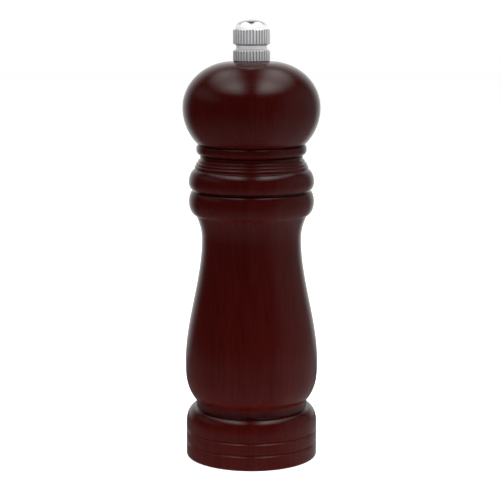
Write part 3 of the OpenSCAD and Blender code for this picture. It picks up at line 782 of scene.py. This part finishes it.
def square_bar(name, width, low, high, edge):
    """Scales a cube to a square bar on the axis and breaks its long edges."""
    piece = block((0, 0, (low + high) / 2), (width, width, high - low))
    piece.name = piece.data.name = name
    for line in piece.data.edges:
        a, b = (piece.data.vertices[v].co for v in line.vertices)
        line.select = abs(a.z - b.z) > (high - low) / 2
    if edge:
        bpy.ops.object.mode_set(mode="EDIT")
        bpy.ops.mesh.select_mode(type="EDGE")
        bpy.ops.mesh.bevel(offset=edge, segments=3)
        bpy.ops.object.mode_set(mode="OBJECT")
    return piece


def cut_square(piece, low, high):
    """Broaches the shaft's square hole through a piece."""
    combine(piece, square_bar("broach", shaft_w + 2 * square_fit, low - MM, high + MM, 0),
            "DIFFERENCE")


def wind(piece, rise, turns, steps):
    """Winds an outline up round the Z axis, at an even rise per turn."""
    winding = piece.modifiers.new("winding", "SCREW")
    winding.screw_offset = rise
    winding.iterations = turns
    winding.steps = winding.render_steps = steps
    bpy.ops.object.modifier_apply(modifier=winding.name)


def close_ends():
    """Fills the open ends of the active piece and turns its faces outwards."""
    edit_all()
    bpy.ops.mesh.fill_holes(sides=0)
    leave_outward()


def thread_ridge(name, root_r, crest_r, pitch, turns, low):
    """The ridge of a screw thread, sunk a little into its core."""
    ridge = drawn(name, [(root_r - 0.1 * MM, low - 0.46 * pitch), (crest_r, low - 0.07 * pitch),
                         (crest_r, low + 0.07 * pitch), (root_r - 0.1 * MM, low + 0.46 * pitch)])
    bpy.ops.object.mode_set(mode="OBJECT")
    wind(ridge, pitch, turns, 32)
    close_ends()
    return ridge


def join(first, *others):
    """Joins loose pieces into the first one."""
    bpy.ops.object.select_all(action="DESELECT")
    for piece in (*others, first):
        piece.select_set(True)
    bpy.context.view_layer.objects.active = first
    bpy.ops.object.join()
    return first


shaft = square_bar("square_shaft", shaft_w, shaft_low, square_top, 0.3 * MM)
combine(shaft, turned("clip_groove", band(clip_groove_r, shaft_w, clip_low - 0.05 * MM,
                                          clip_high + 0.05 * MM), 64), "DIFFERENCE")
stud = turned("shaft_stud", sanded([
    (0, square_top - MM), (thread_root_r, square_top - MM),
    (thread_root_r, shaft_high - 0.5 * MM), (thread_root_r - 0.5 * MM, shaft_high),
    (0, shaft_high)], 0.05 * MM), 48)
combine(shaft, stud, "UNION")
thread = thread_ridge("shaft_thread", thread_root_r, thread_r, thread_pitch, thread_turns,
                        square_top + 0.9 * MM)
shaft = join(shaft, thread)
finish(shaft, metal("shaft_aluminium", (0.80, 0.81, 0.82), 0.24, 0.14, 0.10,
                    stretch=(1, 1, 0.02)))
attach(shaft, "shaft")
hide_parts("shaft")

# --- Drive plate and its screws -------------------------------------------------------------
# Disc stamped from zinc-plated steel, with a square hole that turns the shaft. Two slotted
# round-head screws hold it to the tenon's end.
plate_low, plate_high = upright("drive_plate")
drive_screws_low, drive_screws_high = upright("drive_plate_screws")
drive_screw_spread = (tenon_r + head_bore_r) / 2
plate_hole_r = 1.2 * MM


def drill(piece, x, y, radius, low, high):
    """Drills a round hole through a piece."""
    bpy.ops.object.select_all(action="DESELECT")
    bpy.ops.mesh.primitive_cylinder_add(vertices=32, radius=radius, depth=high - low,
                                        location=(x, y, (low + high) / 2))
    bit = bpy.context.object
    bpy.ops.object.transform_apply()
    combine(piece, bit, "DIFFERENCE")


def copy_of(pattern, name, place=(0, 0, 0), turn=0.0):
    """A copy with its own mesh, turned about the Z axis and then moved."""
    twin = pattern.copy()
    twin.data = pattern.data.copy()
    twin.name = twin.data.name = name
    scene.collection.objects.link(twin)
    select_only(twin)
    twin.rotation_euler = (0, 0, turn)
    twin.location = place
    bpy.ops.object.transform_apply()
    return twin


def wood_screw(name, material, head_z, head_r, head_h, shank_r, length):
    """A slotted round-head screw on the axis, head down, with its thread wound on."""
    root_r = 0.72 * shank_r
    shank_z = head_z + head_h
    outline = bow((0, shank_z), head_r, head_h, -90, 0, 10)
    outline += [(root_r, shank_z), (root_r, shank_z + length - 3 * shank_r),
                (0, shank_z + length)]
    screw = turned(name, outline, 40)
    combine(screw, block((0, 0, head_z), (3 * head_r, 0.34 * head_r, 0.9 * head_h)), "DIFFERENCE")
    pitch = 0.84 * shank_r
    turns = int((length - 3.4 * shank_r) / pitch)
    ridge = thread_ridge(name + "_thread", root_r, shank_r, pitch, turns, shank_z + 0.6 * pitch)
    screw = join(screw, ridge)
    finish(screw, material)
    return screw


drive_plate = plain_ring("drive_plate_disc", core_r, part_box("drive_plate")[1][0], plate_low,
                         plate_high, 0.25 * MM, 128)
cut_square(drive_plate, plate_low, plate_high)
for side in (1, -1):
    drill(drive_plate, 0, side * drive_screw_spread, plate_hole_r, plate_low - MM,
          plate_high + MM)
zinc = metal("plated_steel", (0.66, 0.68, 0.70), 0.20, 0.22, 0.06)
finish(drive_plate, zinc)
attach(drive_plate, "head")
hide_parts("drive_plate")

screw_steel = metal("screw_steel", (0.62, 0.62, 0.63), 0.22, 0.2, 0.08)
drive_shank_r = 1.1 * MM
drive_head_h = 1.2 * MM
drive_screw = wood_screw("drive_screw", screw_steel, drive_screws_low, 1.9 * MM, drive_head_h,
                         drive_shank_r, drive_screws_high - drive_screws_low - drive_head_h)
for number, side in enumerate((1, -1), 1):
    drill(head, 0, side * drive_screw_spread, drive_shank_r, tenon_foot - MM,
          drive_screws_high)
    screw = copy_of(drive_screw, f"drive_screw_{number}", (0, side * drive_screw_spread, 0),
                    0.5 + number)
    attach(screw, "head")
    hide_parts("drive_plate_screws")
bpy.data.objects.remove(drive_screw)

# --- Grinder housing and its screws ---------------------------------------------------------
# Moulded black nylon: a sleeve that fills the wide bore and a flange that three screws hold to
# the ceiling of the recess. Inside are the stator's seat and the groove of its snap ring.
housing_low, housing_high = upright("grinder_housing")
flange_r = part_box("grinder_housing")[1][0]
flange_t = 1.6 * MM
flange_hole_r = 1.3 * MM
sleeve_r = 16.3 * MM
sleeve_bore_r = 12.62 * MM
stator_seat_r = 13.02 * MM
snap_groove_r = 13.92 * MM
stator_low, stator_high = upright("stator")
snap_low, snap_high = upright("stator_snap_ring")
housing_screws_low, housing_screws_high = upright("housing_screws")
housing_screw_spread = (grinder_bore_r + recess_r) / 2 - 0.1 * MM
rivet_spread = (sleeve_r + sleeve_bore_r) / 2
rivet_r = 0.9 * MM
rivet_hole_depth = 4 * MM


def round_about(count, radius, start=0.0):
    """Yields the number, place and angle of equal steps round the axis, at a radius."""
    for i in range(count):
        turn = start + 2 * math.pi * i / count
        yield i, radius * math.cos(turn), radius * math.sin(turn), turn


housing_outline = [
    (stator_seat_r, housing_low), (flange_r, housing_low),
    (flange_r, housing_low + flange_t), (sleeve_r, housing_low + flange_t),
    (sleeve_r, housing_high), (sleeve_bore_r, housing_high),
    (sleeve_bore_r, stator_high), (stator_seat_r, stator_high),
    (stator_seat_r, snap_high), (snap_groove_r, snap_high),
    (snap_groove_r, snap_low), (stator_seat_r, snap_low)]
housing = turned("grinder_sleeve", sanded(housing_outline, 0.15 * MM), 128)
for i, x, y, turn in round_about(3, housing_screw_spread, math.pi / 2):
    drill(housing, x, y, flange_hole_r, housing_low - MM, housing_low + flange_t + MM)
for i, x, y, turn in round_about(3, rivet_spread):
    drill(housing, x, y, rivet_r, housing_high - rivet_hole_depth, housing_high + MM)


def black_nylon():
    """Moulded nylon: near black, with a fine spark-eroded texture and rubbed high spots."""
    material, tree, shader = new_material("black_nylon")
    source = node(tree, "TexCoord")
    spark = noise(tree, source, (1, 1, 1), 3000, 3.0, 0.6)
    paling = noise(tree, source, (1, 1, 1), 150, 3.0, 0.6)
    hue = ramp(tree, paling, 0, [(0.35, (0.012, 0.012, 0.013)), (0.7, (0.022, 0.022, 0.023))])
    gloss = node(tree, "MapRange", To_Min=0.52, To_Max=0.38)
    bump = node(tree, "Bump", Strength=0.3, Distance=0.00006)
    wire(tree, (hue, 0, shader, "Base Color"), (paling, 0, gloss, "Value"),
         (gloss, 0, shader, "Roughness"), (spark, 0, bump, "Height"), (bump, 0, shader, "Normal"))
    return material


finish(housing, black_nylon())
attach(housing, "base")
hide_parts("grinder_housing")

housing_shank_r = 1.2 * MM
housing_head_h = 1.4 * MM
housing_screw = wood_screw("housing_screw", screw_steel, housing_screws_low, 1.8 * MM,
                           housing_head_h, housing_shank_r,
                           housing_screws_high - housing_screws_low - housing_head_h)
for i, x, y, turn in round_about(3, housing_screw_spread, math.pi / 2):
    drill(body, x, y, housing_shank_r, recess_depth - MM, housing_screws_high)
    screw = copy_of(housing_screw, f"housing_screw_{i + 1}", (x, y, 0), 0.8 * i)
    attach(screw, "base")
    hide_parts("housing_screws")
bpy.data.objects.remove(housing_screw)

# --- Stator and its snap ring ---------------------------------------------------------------
# Fixed burr, case-hardened steel: fine teeth in its lower zone and flutes that widen to the
# mouth above. It is pushed up to its seat and held by a spring-steel snap ring.
stator_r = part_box("stator")[1][0]
fine_h = 3.2 * MM
fine_taper = 1.0 * MM
fine_teeth = 36
fine_depth = 0.5 * MM
fine_start = -math.pi / (3 * fine_teeth)
rotor_r = 10.4 * MM
grind_gap = 0.4 * MM
stator_fine_r = rotor_r + grind_gap
stator_throat_r = stator_fine_r - fine_taper
stator_mouth_r = stator_r - 2.4 * MM
coarse_depth = 1.1 * MM
past = 0.5 * MM  # how far a cutter reaches past the stator's ends
fine_top = stator_low + fine_h
low_r = stator_fine_r + fine_taper * past / fine_h
high_r = stator_throat_r - fine_taper * past / fine_h
mouth_r = stator_mouth_r + ((stator_mouth_r - stator_throat_r) * past
                            / (stator_high - fine_top))
blank_bore_r = 4 * MM
stator = plain_ring("stator_burr", blank_bore_r, stator_r, stator_low, stator_high, 0.2 * MM, 128)
drill(stator, 0, 0, blank_bore_r + 0.5 * MM, stator_low - MM, stator_high + MM)
fine_radii = (low_r + fine_depth, low_r + fine_depth, low_r)
combine(stator, toothed_bar("fine_cut", fine_teeth, fine_radii, stator_low - past,
                            fine_top + past, 1, high_r / low_r, start=fine_start), "DIFFERENCE")
flute_depths = (1, 0.88, 0.45, 0, 0.45, 0.88)
flute_count = 14
combine(stator, toothed_bar("mouth_cut", flute_count,
                            [stator_throat_r + share * coarse_depth for share in flute_depths],
                            fine_top, stator_high + past, 1, mouth_r / stator_throat_r),
        "DIFFERENCE")
burr_steel = metal("burr_steel", (0.30, 0.29, 0.28), 0.30, 0.22, 0.2)
finish(stator, burr_steel, angle=25)
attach(stator, "base")
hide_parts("stator")

snap_ring_r = snap_groove_r - 0.05 * MM
snap_ring_w = 1.65 * MM
snap_gap_w = 6 * MM
snap_ring = plain_ring("stator_snap_ring_wire", snap_ring_r - snap_ring_w, snap_ring_r,
                       snap_low, snap_high, 0.2 * MM, 128)
combine(snap_ring, block((snap_ring_r, 0, snap_low), (2 * snap_ring_r, snap_gap_w, 4 * MM)),
        "DIFFERENCE")
spring_steel = metal("spring_steel", (0.48, 0.48, 0.50), 0.20, 0.18, 0.08)
finish(snap_ring, spring_steel)
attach(snap_ring, "base")
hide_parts("stator_snap_ring")

# --- Bridge and its rivets ------------------------------------------------------------------
# Three-armed plate stamped from zinc-plated steel. It lies on the sleeve's end, held by three
# round-head rivets, and its hub carries the bush that the shaft turns in.
bridge_foot = upright("bridge")[0]
bridge_t = 1.5 * MM
hub_r = 6.7 * MM
hub_bore_r = 5.35 * MM
arm_w = 4.0 * MM
bridge_z = (bridge_foot, bridge_foot + bridge_t)
bridge = plain_ring("bridge_rim", sleeve_bore_r, sleeve_r, *bridge_z, 0.25 * MM, 128)
arm_middle = (hub_r + rivet_spread) / 2 - 0.5 * MM
for i, x, y, turn in round_about(3, arm_middle):
    arm = block((x, y, sum(bridge_z) / 2), (rivet_spread - hub_r, arm_w, bridge_t), turn)
    combine(bridge, arm, "UNION")
combine(bridge, plain_ring("bridge_hub", hub_bore_r, hub_r, *bridge_z, 0.2 * MM), "UNION")
for i, x, y, turn in round_about(3, rivet_spread):
    drill(bridge, x, y, rivet_r, bridge_z[0] - MM, bridge_z[1] + MM)
finish(bridge, zinc)
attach(bridge, "base")
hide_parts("bridge")

rivets_low, rivets_high = upright("bridge_rivets")
rivet_head_r = 1.5 * MM
rivet_pattern = turned("bridge_rivet", [
    (0, rivets_low), (rivet_r - 0.2 * MM, rivets_low),
    (rivet_r, rivets_low + 0.2 * MM), (rivet_r, bridge_z[1])]
    + bow((0, bridge_z[1]), rivet_head_r, rivets_high - bridge_z[1], 0, 90, 9), 40)
finish(rivet_pattern, zinc)
for i, x, y, turn in round_about(3, rivet_spread):
    rivet = copy_of(rivet_pattern, f"bridge_rivet_{i + 1}", (x, y, 0))
    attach(rivet, "base")
    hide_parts("bridge_rivets")
bpy.data.objects.remove(rivet_pattern)

# --- Thrust bush and bearing washer ---------------------------------------------------------
# Turned brass bush, keyed on the shaft by its square hole. Its neck runs in the bridge's hub
# and a steel washer takes the push of the spring between its flange and the bridge.
bush_low, bush_high = upright("thrust_bush")
bush_flange_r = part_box("thrust_bush")[1][0]
bush_flange_t = 1.1 * MM
bush_neck_r = 5.3 * MM
bush = turned("thrust_bush_turned", sanded([
    (core_r, bush_low), (bush_flange_r, bush_low),
    (bush_flange_r, bush_low + bush_flange_t), (bush_neck_r, bush_low + bush_flange_t),
    (bush_neck_r, bush_high), (core_r, bush_high)], 0.15 * MM), 96)
cut_square(bush, bush_low, bush_high)
finish(bush, metal("brass", (0.72, 0.50, 0.22), 0.22, 0.20, 0.08))
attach(bush, "thrust")
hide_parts("thrust_bush")

bearing_low, bearing_high = upright("bearing_washer")
bearing = plain_ring("bearing_washer_ring", bush_neck_r + 0.05 * MM, bush_flange_r,
                     bearing_low, bearing_high, 0.12 * MM)
finish(bearing, zinc)
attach(bearing, "thrust")
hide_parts("bearing_washer")

# --- Rotor spring and its cup ---------------------------------------------------------------
# Five turns of spring-steel wire with closed ends. It pushes the rotor down against the nut's
# pull, and sits in a dished steel cup.
cup_low, cup_high = upright("spring_cup")
cup_t = 0.8 * MM
cup_wall = 0.5 * MM
cup_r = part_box("spring_cup")[1][0]
spring_low = cup_low + cup_t
spring_high = bush_low
spring_wire_r = 0.55 * MM
spring_mean_r = 5.3 * MM
end_turns = 1
open_turns = 3


def coil(name, low, rise, turns):
    """A stretch of the spring's round wire, wound up from the XZ plane."""
    bpy.ops.object.select_all(action="DESELECT")
    bpy.ops.mesh.primitive_circle_add(vertices=14, radius=spring_wire_r, fill_type="NOTHING",
                                      location=(spring_mean_r, 0, low),
                                      rotation=(math.pi / 2, 0, 0))
    piece = bpy.context.object
    piece.name = piece.data.name = name
    bpy.ops.object.transform_apply()
    wind(piece, rise, turns, 48)
    return piece


# The first and last turns lie close, and the open turns between them share the rest.
end_rise = 2.1 * spring_wire_r
wire_low = spring_low + spring_wire_r
wire_high = spring_high - spring_wire_r
open_low = wire_low + end_turns * end_rise
open_rise = (wire_high - end_turns * end_rise - open_low) / open_turns
spring = join(coil("rotor_spring_wire", wire_low, end_rise, end_turns),
              coil("open_turns", open_low, open_rise, open_turns),
              coil("top_turn", open_low + open_turns * open_rise, end_rise, end_turns))
edit_all()
bpy.ops.mesh.remove_doubles(threshold=0.005 * MM)
close_ends()
finish(spring, spring_steel, angle=40)
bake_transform(spring)
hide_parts("rotor_spring")

cup = turned("spring_cup_pressed", sanded([
    (core_r, cup_low), (cup_r, cup_low), (cup_r, cup_high),
    (cup_r - cup_wall, cup_high), (cup_r - cup_wall, cup_low + cup_t),
    (core_r, cup_low + cup_t)], 0.2 * MM), 96)
cut_square(cup, cup_low, cup_high)
finish(cup, zinc)
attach(cup, "shaft")
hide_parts("spring_cup")

# --- Rotor ----------------------------------------------------------------------------------
# Moving burr, case-hardened steel: fine teeth on the lower cone and seven coarse spiral teeth
# above that feed the peppercorns down. A square hole keys it on the shaft.
rotor_low, rotor_high = upright("rotor")
rotor_top_r = 5.8 * MM
coarse_r = rotor_r - fine_taper
fine_twist = math.radians(12)
coarse_twist = math.radians(80)
rotor = toothed_bar("rotor_burr", fine_teeth, (rotor_r, rotor_r, rotor_r - fine_depth),
                    rotor_low, rotor_low + fine_h, 4, coarse_r / rotor_r, fine_twist,
                    fine_start)
spiral_depths = (0, 0.03, 1.2, 2, 1.2, 0.03)
spiral_teeth = 7
spiral = toothed_bar("rotor_spiral", spiral_teeth,
                     [coarse_r - share * coarse_depth for share in spiral_depths],
                     rotor_low + fine_h - 0.01 * MM, rotor_high, 14,
                     rotor_top_r / coarse_r, coarse_twist, fine_twist)
combine(rotor, spiral, "UNION")
combine(rotor, turned("rotor_hub", band(0, rotor_top_r - 0.5 * MM, rotor_high - 2 * MM,
                                        rotor_high), 96), "UNION")
cut_square(rotor, rotor_low, rotor_high)
finish(rotor, burr_steel, angle=25)
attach(rotor, "shaft")
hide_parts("rotor")

# --- Rotor washer and shaft clip ------------------------------------------------------------
# A plated washer and a spring-steel clip, snapped into the shaft's groove, carry the rotor.
washer_low, washer_high = upright("rotor_washer")
washer = plain_ring("rotor_washer_ring", core_r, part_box("rotor_washer")[1][0], washer_low,
                    washer_high, 0.2 * MM)
cut_square(washer, washer_low, washer_high)
finish(washer, zinc)
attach(washer, "shaft")
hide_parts("rotor_washer")

clip_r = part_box("shaft_clip")[1][1]
clip_mouth = 0.84 * 2 * clip_groove_r
clip = plain_ring("shaft_clip_ring", clip_groove_r + 0.05 * MM, clip_r, clip_low, clip_high,
                  0.12 * MM)
combine(clip, block((clip_r, 0, clip_low), (2 * clip_r, clip_mouth, 4 * MM)), "DIFFERENCE")
ear_hole_r = 0.55 * MM
for side in (1, -1):
    drill(clip, -0.2 * MM, side * 0.62 * clip_r, ear_hole_r, clip_low - MM, clip_high + MM)
finish(clip, spring_steel)
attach(clip, "shaft")
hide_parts("shaft_clip")
